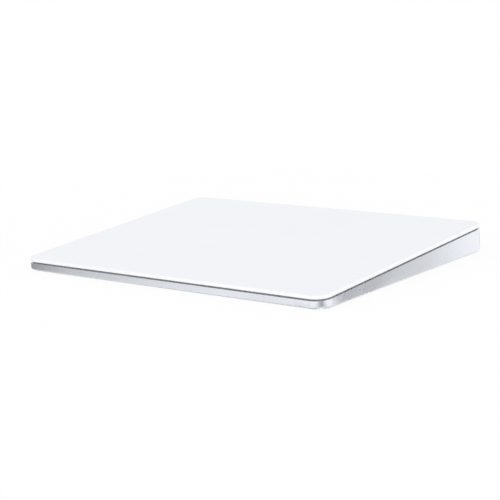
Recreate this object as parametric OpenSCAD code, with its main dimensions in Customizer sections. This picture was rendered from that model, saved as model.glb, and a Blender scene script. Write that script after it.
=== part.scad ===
// Desk trackpad: a tilted glass touch plate on a thin wedge-shaped aluminium housing.
// The plate hangs on four force-sensing flexures and is shaken sideways by a reluctance actuator.
// Millimetres. The desk is z = 0, +X is to the right, the thin front edge faces -Y.

/* [Overall size] */
// Width of the housing, left to right
pad_w = 160; // [144:1:180]
// Depth of the housing, front to rear
pad_d = 115; // [104:1:130]
// Height of the glass above the desk at the front edge
front_h = 5.2; // [4.9:0.1:6]
// Height of the glass above the desk at the rear edge
rear_h = 12.0; // [11:0.1:14]
// Plan radius of the four outer corners
corner_r = 6.0; // [4:0.5:8]

/* [Housing] */
// Thickness of the upright walls
wall_t = 1.8; // [1.6:0.1:2.4]
// Thickness of the floor
floor_t = 1.0; // [0.9:0.1:1.1]
// Radius along the bottom outer edge
base_round = 0.45; // [0.2:0.05:0.7]
// Width of the ledge milled in the top of the wall for the gasket
ledge_w = 0.9; // [0.6:0.1:1]
// Depth of that ledge below the rim
ledge_d = 0.6; // [0.4:0.1:0.8]
// Height of the low ribs on the floor
rib_h = 0.5; // [0.3:0.1:0.8]
// Thickness of every rib
rib_t = 1.0; // [0.8:0.1:1.4]

/* [Feet] */
// Height of the feet below the housing
foot_h = 0.5; // [0.4:0.1:0.6]
// Radius of each foot
foot_r = 5.5; // [4:0.5:7]
// Depth of the foot's seat in the floor
foot_seat = 0.4; // [0.2:0.1:0.5]
// Distance of the feet from the housing's outer sides
foot_inset = 13.5; // [11:0.5:18]

/* [Touch plate] */
// Thickness of the glass
glass_t = 1.3; // [1:0.1:1.4]
// Radius along the glass's top edge
glass_round = 0.3; // [0.1:0.05:0.4]
// Step of the glass's edge behind the housing's side
glass_inset = 0.1; // [0.1:0.05:0.3]
// Open line between the glass and the rim
gap_t = 0.7; // [0.5:0.05:0.8]
// Thickness of the adhesive film under the glass
film_t = 0.15; // [0.1:0.05:0.2]
// Thickness of the touch sensor board
sensor_t = 0.7; // [0.6:0.1:0.8]
// Thickness of the steel stiffener
stiff_t = 0.5; // [0.4:0.1:0.6]
// Distance of the sensor board from the housing's outer sides
stack_inset = 4.0; // [3.5:0.1:5]

/* [Motion] */
// Travel of the plate when it is pressed
press_travel = 0.25; // [0.15:0.05:0.3]
// Sideways travel of the plate each way when the actuator shakes it
shake_travel = 0.15; // [0.1:0.05:0.2]
// Travel of the power switch
switch_travel = 2.0; // [1.6:0.1:2.4]

/* [Flexures] */
// Length of each flexure plate
flex_l = 20; // [18:0.5:22]
// Width of each flexure plate
flex_w = 11; // [10.5:0.5:12]
// Thickness of the flexure plates
flex_t = 0.5; // [0.4:0.05:0.6]
// Length of the sprung tongue
tongue_l = 10; // [9:0.5:10.5]
// Width of the sprung tongue
tongue_w = 5; // [4.5:0.1:5.2]
// Width of the slot cut round the tongue
tongue_slot = 0.8; // [0.5:0.1:1]
// Radius of the gel pads
gel_r = 2.0; // [1.6:0.1:2.2]
// Thickness of the gel pads
gel_t = 1.0; // [0.95:0.05:1.1]
// Distance of the flexures' centres from the housing's left and right sides
flex_side = 18; // [17.5:0.5:20]
// Distance of the flexures' centres from the housing's front and rear
flex_end = 25.5; // [24:0.5:28]

/* [Actuator] */
// Length of the actuator's base plate
haptic_l = 40; // [38:1:44]
// Width of the actuator's base plate
haptic_w = 19; // [18.5:0.5:20]
// Thickness of the base plate
haptic_base_t = 0.4; // [0.3:0.05:0.5]
// Thickness of the laminated core's legs
leg_t = 1.0; // [0.8:0.1:1.1]
// Width of each leg of the core
leg_w = 3.0; // [2.6:0.1:3.2]
// Thickness of the winding over and under a leg
wind_t = 0.3; // [0.2:0.05:0.3]
// Open gap between the core and the bar that it pulls
pole_gap = 0.35; // [0.3:0.05:0.5]

/* [Battery] */
// Depth of the cell, front to rear
cell_d = 33; // [28:1:35]
// Thickness of the tape under the cell
tape_t = 0.15; // [0.12:0.01:0.2]

/* [Board] */
// Width of the logic board
board_w = 70; // [68:1:76]
// Depth of the logic board, front to rear
board_d = 16.6; // [16:0.1:18]
// Thickness of the logic board
board_t = 0.8; // [0.6:0.1:1]
// Height of the board above the floor
board_up = 1.6; // [1.4:0.1:1.8]

/* [Charging port] */
// Width of the port's opening
port_w = 8.34; // [8.2:0.02:8.5]
// Height of the port's opening
port_h = 2.56; // [2.4:0.02:2.7]
// Thickness of the port's shell
port_t = 0.35; // [0.25:0.05:0.4]
// Length of the port's shell
port_l = 7.6; // [7.2:0.1:8]

/* [Power switch] */
// Length of the sliding knob
knob_l = 4.6; // [4:0.1:5]
// Height of the sliding knob
knob_h = 1.9; // [1.6:0.1:2.2]
// Distance of the switch from the middle of the rear wall
switch_x = 26; // [25:0.5:27]

/* [Hidden] */
$fn = 64;

// A small overlap that joins the pieces of one solid
join = 0.2;
// Larger than the whole object, for cuts
big = 400;
// Running clearance round small moving pieces
run_clear = 0.15;
// Clearance of a screw in its hole
screw_clear = 0.05;
// Thickness of the flexible circuits
ribbon_t = 0.1;

// Slope of the glass
tilt = atan((rear_h - front_h) / pad_d);
mid_h = (front_h + rear_h) / 2;
deck_d = pad_d / cos(tilt);

// Levels below the glass's top, measured square to the glass
film_top = -glass_t;
sensor_top = film_top - film_t;
stiff_top = sensor_top - sensor_t;
stack_bottom = stiff_top - stiff_t;
rim_level = -glass_t - gap_t;
flex_top = stack_bottom - gel_t;
flex_bottom = flex_top - flex_t;
press_floor = stack_bottom - press_travel;

// Heights above the desk
floor_top = foot_h + floor_t;
rear_y = pad_d / 2;
rear_in = rear_y - wall_t;

// Height of a plane parallel to the glass at the plan position y
function deck_z(y, level) = mid_h + y * tan(tilt) + level / cos(tilt);
// A point of such a plane in the upright plane through Y and Z
function deck_point(v, level) =
  [v * cos(tilt) - level * sin(tilt), mid_h + v * sin(tilt) + level * cos(tilt)];

// Sensor stack
stack_w = pad_w - 2 * stack_inset;
stack_d = deck_d - 2 * stack_inset;
stack_round = 1.5;
stack_r = corner_r - stack_round;
film_step = 0.6;

// Gasket
gasket_slack = 0.05;
gasket_gap = press_travel + gasket_slack;
gasket_lap = 0.7;
gasket_w = ledge_w + gasket_lap;
gasket_side = 0.1;
gasket_out = wall_t - ledge_w + gasket_side;

// Flexures, in their own directions: u points to the outer side, v to the rear
flex_x = pad_w / 2 - flex_side;
flex_v = deck_d / 2 - flex_end;
flex_r = 1.5;
bridge_w = 3.2;
tongue_tip = -flex_l / 2 + bridge_w + tongue_slot;
tongue_root = tongue_tip + tongue_l;
flex_screw_u = (tongue_root + flex_l / 2) / 2;
flex_screw_in = 2.2;
flex_screw_v = flex_w / 2 - flex_screw_in;
gel_edge = 0.4;
gel_u = tongue_tip + gel_r + gel_edge;
gauge_l = 3;
gauge_w = 3;
gauge_t = 0.1;
gauge_edge = 0.3;
gauge_u = tongue_root - gauge_l / 2 - gauge_edge;
boss_pocket = 0.1;

// Screws
screw_r = 0.6;
screw_hole_r = screw_r + screw_clear;
head_r = 1.25;
head_t = 0.45;
drive_r = 0.5;
drive_d = 0.25;
flex_bite = 0.9;
flex_screw_l = flex_t + flex_bite;
haptic_bite = 0.8;
haptic_screw_l = haptic_base_t + haptic_bite;
board_bite = 1.4;
board_screw_l = board_t + board_bite;
screw_end = 0.15;

// Logic board, set against the rear wall
board_gap = 1.0;
board_back = rear_in - board_gap;
board_front = board_back - board_d;
board_mid = (board_front + board_back) / 2;
board_z = floor_top + board_up;
board_top = board_z + board_t;
board_r = 1.2;
boss_r = 1.9;
hole_in = 3;
port_hole_x = 14;
board_holes = [
  [-board_w / 2 + hole_in, board_front + hole_in],
  [board_w / 2 - hole_in, board_front + hole_in],
  [-port_hole_x, board_back - hole_in],
  [port_hole_x, board_back - hole_in]];

// Battery in front of the board: as thick as the room under the pressed plate allows
pcm_w = 44;
pcm_d = 2.2;
pcm_t = 1.6;
pcm_up = 1.4;
pcm_gap = 2.4;
cell_y = board_front - pcm_gap - pcm_d - cell_d;
cell_side = 1.6;
cell_w = 2 * (flex_x - flex_l / 2 - cell_side);
cell_clear = 0.4;
cell_z = floor_top + tape_t;
cell_t = deck_z(cell_y, press_floor) - cell_clear - cell_z;
cell_r = 2.0;
cell_fold = 0.8;
tape_w = 18;
tape_side = 4;
tape_x = cell_w / 2 - tape_w / 2 - tape_side;
tape_in = 2;
pcm_z = cell_z + pcm_up;

// Actuator in front of the battery, parallel to the glass
haptic_gap = 3.5;
haptic_v = cell_y - haptic_gap - haptic_w / 2;
coil_clear = 0.2;
coil_top = press_floor - coil_clear;
leg_top = coil_top - wind_t;
leg_bottom = leg_top - leg_t;
haptic_top = leg_bottom - wind_t;
haptic_bottom = haptic_top - haptic_base_t;
leg_pitch = 5.5;
spine_l = 4;
spine_in = 3.5;
spine_x = -haptic_l / 2 + spine_in;
leg_end = 6;
coil_l = 12;
coil_in = 0.6;
coil_x = spine_x + spine_l + coil_in;
wind_side = 1.0;
wind_clear = 0.05;
bar_short = 2.5;
bar_l = haptic_w - bar_short;
bar_t = 3.0;
bar_x = leg_end + pole_gap;
bar_flange = 6.5;
bar_flange_t = 0.4;
bar_drop = 0.15;
haptic_hole_in = 1.8;
haptic_hole_x = haptic_l / 2 - haptic_hole_in;
haptic_hole_v = haptic_w / 2 - haptic_hole_in;
haptic_ear = 2.6;

// Parts on the logic board
socket_in = 2.6;
socket_y = board_front + socket_in;
socket_d = 2.4;
socket_t = 0.9;
sensor_x = -9;
sensor_socket_w = 10;
battery_x = 6;
battery_socket_w = 6;
haptic_flex_x = 13;
haptic_flex_w = 4.5;
flex_margin = 1;
chip_in = 7.6;
chip_row = board_front + chip_in;
small_chip = 5;
choke_w = 4.4;
choke_step = 1.5;
shield_w = 15;
shield_d = 8;
shield_h = 1.4;
shield_t = 0.2;
shield_x = -23;
shield_in = 8;
shield_y = board_front + shield_in;

// Chips and plug under the sensor board, over the battery
chip_w = 7;
chip_t = 0.8;
chip_x = 28;
plug_back = 9;
plug_v = board_front - plug_back;
chip_back = 17;
chip_v = plug_v - chip_back;
plug_w = 10;
plug_d = 3;
plug_t = 1.1;
window_gap = 1.2;

// Charging port
port_out_w = port_w + 2 * port_t;
port_out_h = port_h + 2 * port_t;
port_z = board_top + port_out_h / 2;
port_recess = 0.8;
port_clear = 0.12;
tongue_port_w = 6.69;
tongue_port_h = 0.7;
tongue_port_in = 1.2;
tongue_port_l = port_l - port_t - tongue_port_in;

// Power switch
switch_up = 1.5;
switch_z = board_top + switch_up;
slot_l = knob_l + switch_travel + 2 * run_clear;
slot_h = knob_h + 2 * run_clear;
body_side = 1.1;
body_w = slot_l + 2 * body_side;
body_h = 3.0;
body_gap = 0.7;
body_d = 3.0;
body_front = rear_in - body_gap;
knob_recess = 0.25;
knob_gap = 0.3;
knob_back = body_front + knob_gap;
stem_l = 2.2;
stem_h = 0.9;
stem_in = 1.6;
grip_w = 0.25;
grip_pitch = 0.7;
grip_d = 0.12;
mark_t = 0.06;

// Antenna
antenna_w = 16;
antenna_d = 3.0;
antenna_t = 1.4;
antenna_gap = 7;
antenna_x = -board_w / 2 - antenna_gap - antenna_w / 2;
antenna_wall = 0.3;
antenna_back = rear_in - antenna_wall;
antenna_front = antenna_back - antenna_d;
antenna_clear = 0.4;
antenna_top = deck_z(antenna_front, press_floor) - antenna_clear;
antenna_z = antenna_top - antenna_t;

// Ribs
rib_gap = 4;

// Gauge circuits along the floor
lane_w = 2.4;
lane_x = (flex_x + flex_l / 2 + pad_w / 2 - wall_t) / 2;
lane_in = 7;
lane_y = board_front + lane_in;
lane_gap = 0.8;
lane_rise = board_w / 2 + lane_gap;

// Length that a circuit lies on what it is soldered to, and its run out to the first bend
lap = 2.4;
bend = 0.6;

// Turns what is drawn flat into the plane of the glass, at a level below its top
module on_deck(level) {
  translate([0, 0, mid_h])
    rotate([tilt, 0, 0])
      translate([0, 0, level])
        children();
}

// Everything above a level
module above(level) {
  on_deck(level)
    translate([-big / 2, -big / 2, 0])
      cube([big, big, big / 2]);
}

// Flat rounded rectangle
module soft_rect(w, d, r) {
  square([w - 2 * r, d], center = true);
  square([w, d - 2 * r], center = true);
  for (sx = [-1, 1])
    for (sy = [-1, 1])
      translate([sx * (w / 2 - r), sy * (d / 2 - r)])
        circle(r);
}

// Flat oblong with round ends
module oblong(w, h) {
  square([w - h, h], center = true);
  for (s = [-1, 1])
    translate([s * (w - h) / 2, 0])
      circle(h / 2);
}

// Section of a block whose two lower edges are rounded
module bar_section(l, h, e) {
  translate([-l / 2, e])
    square([l, h - e]);
  translate([-l / 2 + e, 0])
    square([l - 2 * e, h]);
  for (s = [-1, 1])
    translate([s * (l / 2 - e), e])
      circle(e);
}

// Half section of a round corner with the same lower edge
module corner_section(r, h, e) {
  square([r - e, h]);
  translate([0, e])
    square([r, h - e]);
  translate([r - e, e])
    circle(e);
}

// Block with round corners in plan and a rounded lower edge
module soft_block(w, d, h, r, e) {
  rotate([90, 0, 90])
    linear_extrude(w - 2 * r, center = true)
      bar_section(d, h, e);
  rotate([90, 0, 0])
    linear_extrude(d - 2 * r, center = true)
      bar_section(w, h, e);
  for (turn = [0 : 3])
    let (sx = turn == 0 || turn == 3 ? 1 : -1, sy = turn < 2 ? 1 : -1)
      translate([sx * (w / 2 - r), sy * (d / 2 - r), 0])
        rotate([0, 0, turn * 90])
          rotate_extrude(angle = 90)
            corner_section(r, h, e);
}

// Column from the floor, square to the glass and cut off at a level below it
module deck_post(level) {
  intersection() {
    on_deck(level - rear_h)
      linear_extrude(rear_h)
        children();
    translate([-big / 2, -big / 2, floor_top - join])
      cube([big, big, big / 2]);
  }
}

// Places a flexure's drawing, with u outward
module at_flexure(sx, sy) {
  translate([sx * flex_x, sy * flex_v])
    mirror([sx < 0 ? 1 : 0, 0])
      children();
}

// Screw with its head's underside at z = 0, pointing down
module screw(length) {
  difference() {
    cylinder(r = head_r, h = head_t);
    translate([0, 0, head_t - drive_d])
      cylinder(r = drive_r, h = drive_d + join, $fn = 6);
  }
  translate([0, 0, -length])
    cylinder(r = screw_r, h = length + drive_d / 2);
}

// Direction helpers for a ribbon that follows a line of points
function unit(v) = v / norm(v);
function left_of(v) = [-v[1], v[0]];
function before(p, i) = unit(p[max(i, 1)] - p[max(i, 1) - 1]);
function after(p, i) = unit(p[min(i + 1, len(p) - 1)] - p[min(i, len(p) - 2)]);
function mitre(p, i) =
  let (m = unit(left_of(before(p, i)) + left_of(after(p, i))))
    m / (m * left_of(before(p, i)));

// Thin circuit bent along a line of points and drawn to a width
module ribbon(p, w) {
  n = len(p) - 1;
  linear_extrude(w, center = true)
    polygon(concat(
      [for (i = [0 : n]) p[i] + mitre(p, i) * ribbon_t / 2],
      [for (i = [n : -1 : 0]) p[i] - mitre(p, i) * ribbon_t / 2]));
}

// Ribbon drawn in the upright plane through Y and Z, at the plan position x
module ribbon_yz(x, p, w) {
  translate([x, 0, 0])
    rotate([90, 0, 90])
      ribbon(p, w);
}

// Housing
module housing_shell() {
  lip = wall_t - ledge_w;
  difference() {
    translate([0, 0, foot_h])
      soft_block(pad_w, pad_d, rear_h, corner_r, base_round);
    above(rim_level);
    translate([0, 0, floor_top])
      linear_extrude(rear_h)
        soft_rect(pad_w - 2 * wall_t, pad_d - 2 * wall_t, corner_r - wall_t);
    on_deck(rim_level - ledge_d)
      linear_extrude(rear_h)
        soft_rect(pad_w - 2 * lip, deck_d - 2 * lip, corner_r - lip);
  }
}

// Raised frame under the fixed part of a flexure
module flexure_boss() {
  difference() {
    soft_rect(flex_l, flex_w, flex_r);
    translate([tongue_tip - tongue_slot - boss_pocket, -tongue_w / 2 - tongue_slot])
      square([tongue_l + tongue_slot + boss_pocket, tongue_w + 2 * tongue_slot]);
  }
}

// Low ribs that frame the cell, open where circuits cross
module cell_ribs() {
  rib_z = cell_z + cell_t / 3;
  for (s = [-1, 1])
    translate([s * (cell_w / 2 + cell_side / 2) - rib_t / 2, cell_y + cell_fold, floor_top - join])
      cube([rib_t, cell_d - 2 * cell_fold, rib_z - floor_top + join]);
  for (span = [[-cell_w / 2, -haptic_l / 2 - rib_gap], [haptic_l / 2 + rib_gap, cell_w / 2]])
    translate([span[0], cell_y - rib_t - run_clear, floor_top - join])
      cube([span[1] - span[0], rib_t, rib_h + join]);
  for (span = [[-cell_w / 2, -pcm_w / 2 - rib_gap / 2], [pcm_w / 2 + rib_gap / 2, cell_w / 2]])
    translate([span[0], cell_y + cell_d + run_clear, floor_top - join])
      cube([span[1] - span[0], rib_t, rib_h + join]);
}

// Stiffening ribs across the thin front of the floor
module front_ribs() {
  near = -rear_in + rib_gap;
  far = haptic_v - haptic_w / 2 - rib_gap;
  side = flex_x - flex_l / 2 - rib_t;
  for (i = [-3 : 3])
    translate([i * side / 3 - rib_t / 2, near, floor_top - join])
      cube([rib_t, far - near, rib_h + join]);
  translate([-side, near, floor_top - join])
    cube([2 * side, rib_t, rib_h + join]);
}

module housing() {
  color([0.80, 0.81, 0.82])
    difference() {
      union() {
        housing_shell();
        for (sx = [-1, 1])
          for (sy = [-1, 1])
            deck_post(flex_bottom)
              at_flexure(sx, sy)
                flexure_boss();
        for (sx = [-1, 1])
          for (sv = [-1, 1])
            deck_post(haptic_bottom)
              translate([sx * haptic_hole_x, haptic_v + sv * haptic_hole_v])
                circle(boss_r);
        for (p = board_holes)
          translate([p[0], p[1], floor_top - join])
            cylinder(r = boss_r, h = board_up + join);
        translate([antenna_x - antenna_w / 2, antenna_front, floor_top - join])
          cube([antenna_w, rear_in - antenna_front + join, antenna_z - floor_top + join]);
        cell_ribs();
        front_ribs();
      }
      for (sx = [-1, 1])
        for (sy = [-1, 1])
          translate([sx * (pad_w / 2 - foot_inset), sy * (pad_d / 2 - foot_inset), 0])
            cylinder(r = foot_r + screw_clear, h = foot_h + foot_seat);
      on_deck(flex_bottom - flex_screw_l + flex_t - screw_end)
        for (sx = [-1, 1])
          for (sy = [-1, 1])
            for (sv = [-1, 1])
              at_flexure(sx, sy)
                translate([flex_screw_u, sv * flex_screw_v, 0])
                  cylinder(r = screw_hole_r, h = flex_screw_l + screw_end);
      on_deck(haptic_bottom - haptic_screw_l + haptic_base_t - screw_end)
        for (sx = [-1, 1])
          for (sv = [-1, 1])
            translate([sx * haptic_hole_x, haptic_v + sv * haptic_hole_v, 0])
              cylinder(r = screw_hole_r, h = haptic_screw_l + screw_end);
      for (p = board_holes)
        translate([p[0], p[1], board_z - board_screw_l + board_t - screw_end])
          cylinder(r = screw_hole_r, h = board_screw_l + screw_end);
      translate([0, rear_y + join, port_z])
        rotate([90, 0, 0])
          linear_extrude(wall_t + 2 * join)
            oblong(port_out_w + 2 * port_clear, port_out_h + 2 * port_clear);
      translate([switch_x, rear_y + join, switch_z])
        rotate([90, 0, 0])
          linear_extrude(wall_t + 2 * join)
            oblong(slot_l, slot_h);
    }
}

// Rubber feet
module foot(sx, sy) {
  color([0.93, 0.93, 0.93])
    translate([sx * (pad_w / 2 - foot_inset), sy * (pad_d / 2 - foot_inset), 0])
      rotate_extrude()
        corner_section(foot_r, foot_h + foot_seat, foot_h / 2);
}

module foot_front_left() {
  foot(-1, -1);
}

module foot_front_right() {
  foot(1, -1);
}

module foot_rear_left() {
  foot(-1, 1);
}

module foot_rear_right() {
  foot(1, 1);
}

// Dark foam frame on the ledge, just under the glass
module perimeter_gasket() {
  height = gap_t + ledge_d - gasket_gap;
  color([0.10, 0.10, 0.11])
    on_deck(rim_level - ledge_d)
      linear_extrude(height)
        difference() {
          soft_rect(pad_w - 2 * gasket_out, deck_d - 2 * gasket_out, corner_r - gasket_out);
          soft_rect(pad_w - 2 * (gasket_out + gasket_w), deck_d - 2 * (gasket_out + gasket_w),
            corner_r - gasket_out - gasket_w);
        }
}

module glass_cover() {
  color([0.95, 0.95, 0.97])
    on_deck(0)
      mirror([0, 0, 1])
        soft_block(pad_w - 2 * glass_inset, deck_d - 2 * glass_inset, glass_t,
          corner_r - glass_inset, glass_round);
}

module sensor_film() {
  color([0.75, 0.75, 0.70])
    on_deck(sensor_top)
      linear_extrude(film_t)
        soft_rect(stack_w - 2 * film_step, stack_d - 2 * film_step, stack_r - film_step);
}

module sensor_board() {
  color([0.07, 0.22, 0.13])
    on_deck(stiff_top)
      linear_extrude(sensor_t)
        soft_rect(stack_w, stack_d, stack_r);
}

// Steel sheet with windows for the chips, the connector and the flexures' screws
module stiffener_plate() {
  color([0.62, 0.63, 0.65])
    on_deck(stack_bottom)
      linear_extrude(stiff_t)
        difference() {
          soft_rect(stack_w - 2 * film_step, stack_d - 2 * film_step, stack_r - film_step);
          for (s = [-1, 1])
            translate([s * chip_x, chip_v])
              soft_rect(chip_w + 2 * window_gap, chip_w + 2 * window_gap, window_gap);
          translate([sensor_x, plug_v])
            soft_rect(plug_w + 2 * window_gap, plug_d + 2 * window_gap, window_gap);
          for (sx = [-1, 1])
            for (sy = [-1, 1])
              for (sv = [-1, 1])
                at_flexure(sx, sy)
                  translate([flex_screw_u, sv * flex_screw_v])
                    circle(head_r + 2 * shake_travel);
        }
}

// Chips and plug under the sensor board
module touch_chip(s) {
  color([0.09, 0.09, 0.10])
    on_deck(stiff_top - chip_t)
      translate([s * chip_x - chip_w / 2, chip_v - chip_w / 2, 0])
        cube([chip_w, chip_w, chip_t]);
}

module touch_chip_left() {
  touch_chip(-1);
}

module touch_chip_right() {
  touch_chip(1);
}

module touch_connector() {
  color([0.86, 0.83, 0.74])
    on_deck(stiff_top - plug_t)
      translate([sensor_x - plug_w / 2, plug_v - plug_d / 2, 0])
        cube([plug_w, plug_d, plug_t]);
}

// Angle-section steel bar that the actuator pulls, welded under the stiffener
module attraction_bar() {
  depth = stack_bottom - leg_bottom - bar_drop;
  color([0.45, 0.46, 0.48])
    on_deck(stack_bottom)
      translate([0, haptic_v + bar_l / 2, 0])
        rotate([90, 0, 0])
          linear_extrude(bar_l)
            polygon([[bar_x, 0], [bar_x, -depth], [bar_x + bar_t, -depth],
              [bar_x + bar_t, -bar_flange_t], [bar_x + bar_t + bar_flange, -bar_flange_t],
              [bar_x + bar_t + bar_flange, 0]]);
}

// Flexure: one steel plate with a tongue freed by a slot
module flexure(sx, sy) {
  color([0.70, 0.71, 0.73])
    on_deck(flex_bottom)
      at_flexure(sx, sy)
        linear_extrude(flex_t)
          difference() {
            soft_rect(flex_l, flex_w, flex_r);
            translate([tongue_tip - tongue_slot, -tongue_w / 2 - tongue_slot])
              square([tongue_slot, tongue_w + 2 * tongue_slot]);
            for (s = [-1, 1])
              translate([(tongue_tip + tongue_root - tongue_slot) / 2, s * (tongue_w + tongue_slot) / 2])
                square([tongue_l + tongue_slot, tongue_slot], center = true);
            for (s = [-1, 1])
              translate([flex_screw_u, s * flex_screw_v])
                circle(screw_hole_r);
          }
}

module flexure_front_left() {
  flexure(-1, -1);
}

module flexure_front_right() {
  flexure(1, -1);
}

module flexure_rear_left() {
  flexure(-1, 1);
}

module flexure_rear_right() {
  flexure(1, 1);
}

// Strain gauge on the root of a tongue
module gauge(sx, sy) {
  color([0.78, 0.55, 0.25])
    on_deck(flex_top)
      at_flexure(sx, sy)
        translate([gauge_u - gauge_l / 2, -gauge_w / 2, 0])
          cube([gauge_l, gauge_w, gauge_t]);
}

module gauge_front_left() {
  gauge(-1, -1);
}

module gauge_front_right() {
  gauge(1, -1);
}

module gauge_rear_left() {
  gauge(-1, 1);
}

module gauge_rear_right() {
  gauge(1, 1);
}

// Soft pad between the tongue's tip and the stiffener
module gel(sx, sy) {
  color([0.82, 0.86, 0.88])
    on_deck(flex_top)
      at_flexure(sx, sy)
        translate([gel_u, 0, 0])
          cylinder(r = gel_r, h = gel_t);
}

module gel_front_left() {
  gel(-1, -1);
}

module gel_front_right() {
  gel(1, -1);
}

module gel_rear_left() {
  gel(-1, 1);
}

module gel_rear_right() {
  gel(1, 1);
}

module flexure_screws() {
  color([0.30, 0.30, 0.32])
    on_deck(flex_top)
      for (sx = [-1, 1])
        for (sy = [-1, 1])
          for (sv = [-1, 1])
            at_flexure(sx, sy)
              translate([flex_screw_u, sv * flex_screw_v, 0])
                screw(flex_screw_l);
}

// Actuator
module haptic_base() {
  color([0.66, 0.67, 0.69])
    on_deck(haptic_bottom)
      translate([0, haptic_v, 0])
        linear_extrude(haptic_base_t)
          difference() {
            soft_rect(haptic_l, haptic_w, haptic_ear / 2);
            for (s = [-1, 1])
              translate([s * haptic_l / 2, 0])
                square([haptic_ear, haptic_w - 4 * haptic_ear], center = true);
            for (sx = [-1, 1])
              for (sv = [-1, 1])
                translate([sx * haptic_hole_x, sv * haptic_hole_v])
                  circle(screw_hole_r);
          }
}

// Comb of laminated steel: a thick spine on the base and three legs held clear of it
module haptic_core() {
  span = 2 * leg_pitch + leg_w;
  color([0.36, 0.37, 0.40])
    on_deck(0)
      translate([0, haptic_v, 0]) {
        translate([spine_x, -span / 2, haptic_top])
          cube([spine_l, span, leg_top - haptic_top]);
        for (i = [-1 : 1])
          translate([spine_x + spine_l / 2, i * leg_pitch - leg_w / 2, leg_bottom])
            cube([leg_end - spine_x - spine_l / 2, leg_w, leg_t]);
      }
}

// Copper winding round an outer leg
module haptic_coil(s) {
  outer_w = leg_w + 2 * wind_side;
  color([0.72, 0.40, 0.22])
    on_deck((leg_top + leg_bottom) / 2)
      translate([coil_x, haptic_v + s * leg_pitch, 0])
        rotate([90, 0, 90])
          linear_extrude(coil_l)
            difference() {
              soft_rect(outer_w, leg_t + 2 * wind_t, wind_side / 2);
              square([leg_w + 2 * wind_clear, leg_t + 2 * wind_clear], center = true);
            }
}

module haptic_coil_front() {
  haptic_coil(-1);
}

module haptic_coil_rear() {
  haptic_coil(1);
}

module haptic_screws() {
  color([0.30, 0.30, 0.32])
    on_deck(haptic_top)
      for (sx = [-1, 1])
        for (sv = [-1, 1])
          translate([sx * haptic_hole_x, haptic_v + sv * haptic_hole_v, 0])
            screw(haptic_screw_l);
}

// Pouch cell with soft corners and a rounded lower edge
module battery_cell() {
  color([0.22, 0.23, 0.25])
    translate([0, cell_y + cell_d / 2, cell_z])
      soft_block(cell_w, cell_d, cell_t, cell_r, cell_fold);
}

module battery_tape() {
  color([0.90, 0.90, 0.86])
    for (s = [-1, 1])
      translate([s * tape_x - tape_w / 2, cell_y + tape_in, floor_top])
        cube([tape_w, cell_d - 2 * tape_in, tape_t]);
}

// Protection board bonded to the rear face of the cell
module battery_board() {
  color([0.08, 0.25, 0.14])
    translate([-pcm_w / 2, cell_y + cell_d, pcm_z])
      cube([pcm_w, pcm_d, pcm_t]);
}

module battery_flex() {
  pcm_top = pcm_z + pcm_t + ribbon_t / 2;
  pcm_back = cell_y + cell_d + pcm_d;
  socket_top = board_top + socket_t + ribbon_t / 2;
  color([0.80, 0.50, 0.16])
    ribbon_yz(battery_x, [[pcm_back - pcm_d / 2, pcm_top], [pcm_back, pcm_top],
      [board_front - bend, socket_top], [socket_y + socket_d / 2, socket_top]],
      battery_socket_w - flex_margin);
}

// Logic board with a notch at the front for the actuator's circuit
module logic_board() {
  color([0.07, 0.22, 0.13])
    translate([0, board_mid, board_z])
      linear_extrude(board_t)
        difference() {
          soft_rect(board_w, board_d, board_r);
          for (p = board_holes)
            translate([p[0], p[1] - board_mid])
              circle(screw_hole_r);
          translate([haptic_flex_x, -board_d / 2])
            soft_rect(haptic_flex_w + 2 * board_r, 2 * board_r, board_r / 2);
        }
}

module board_screws() {
  color([0.30, 0.30, 0.32])
    for (p = board_holes)
      translate([p[0], p[1], board_top])
        screw(board_screw_l);
}

// Pressed steel can over the radio
module radio_shield() {
  color([0.74, 0.75, 0.76])
    translate([shield_x, shield_y, board_top])
      difference() {
        linear_extrude(shield_h)
          soft_rect(shield_w, shield_d, 2 * shield_t);
        translate([0, 0, -join])
          linear_extrude(shield_h - shield_t + join)
            soft_rect(shield_w - 2 * shield_t, shield_d - 2 * shield_t, shield_t);
        for (i = [-2 : 2])
          translate([i * shield_w / 6, 0, shield_h / 2])
            cylinder(r = shield_d / 16, h = shield_h);
      }
}

// Chips on the logic board
module board_chip(x, y, w, h) {
  translate([x - w / 2, y - w / 2, board_top])
    cube([w, w, h]);
}

module processor_chip() {
  color([0.09, 0.09, 0.10])
    board_chip(sensor_x + small_chip, chip_row, small_chip, chip_t);
}

module driver_chip() {
  color([0.09, 0.09, 0.10])
    board_chip(battery_x, chip_row, small_chip, chip_t);
}

module driver_choke() {
  color([0.40, 0.40, 0.42])
    board_chip(haptic_flex_x + choke_step, chip_row, choke_w, 2 * chip_t);
}

module sensor_socket() {
  color([0.86, 0.83, 0.74])
    translate([sensor_x - sensor_socket_w / 2, socket_y - socket_d / 2, board_top])
      cube([sensor_socket_w, socket_d, socket_t]);
}

module battery_socket() {
  color([0.86, 0.83, 0.74])
    translate([battery_x - battery_socket_w / 2, socket_y - socket_d / 2, board_top])
      cube([battery_socket_w, socket_d, socket_t]);
}

// Circuit from the plate's plug down to the logic board
module sensor_flex() {
  under_plug = stiff_top - plug_t - ribbon_t / 2;
  socket_top = board_top + socket_t + ribbon_t / 2;
  color([0.80, 0.50, 0.16])
    ribbon_yz(sensor_x, [deck_point(plug_v - plug_d / 2, under_plug),
      deck_point(plug_v + plug_d, under_plug), [board_front - bend, socket_top],
      [socket_y + socket_d / 2, socket_top]], sensor_socket_w - flex_margin);
}

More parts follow.
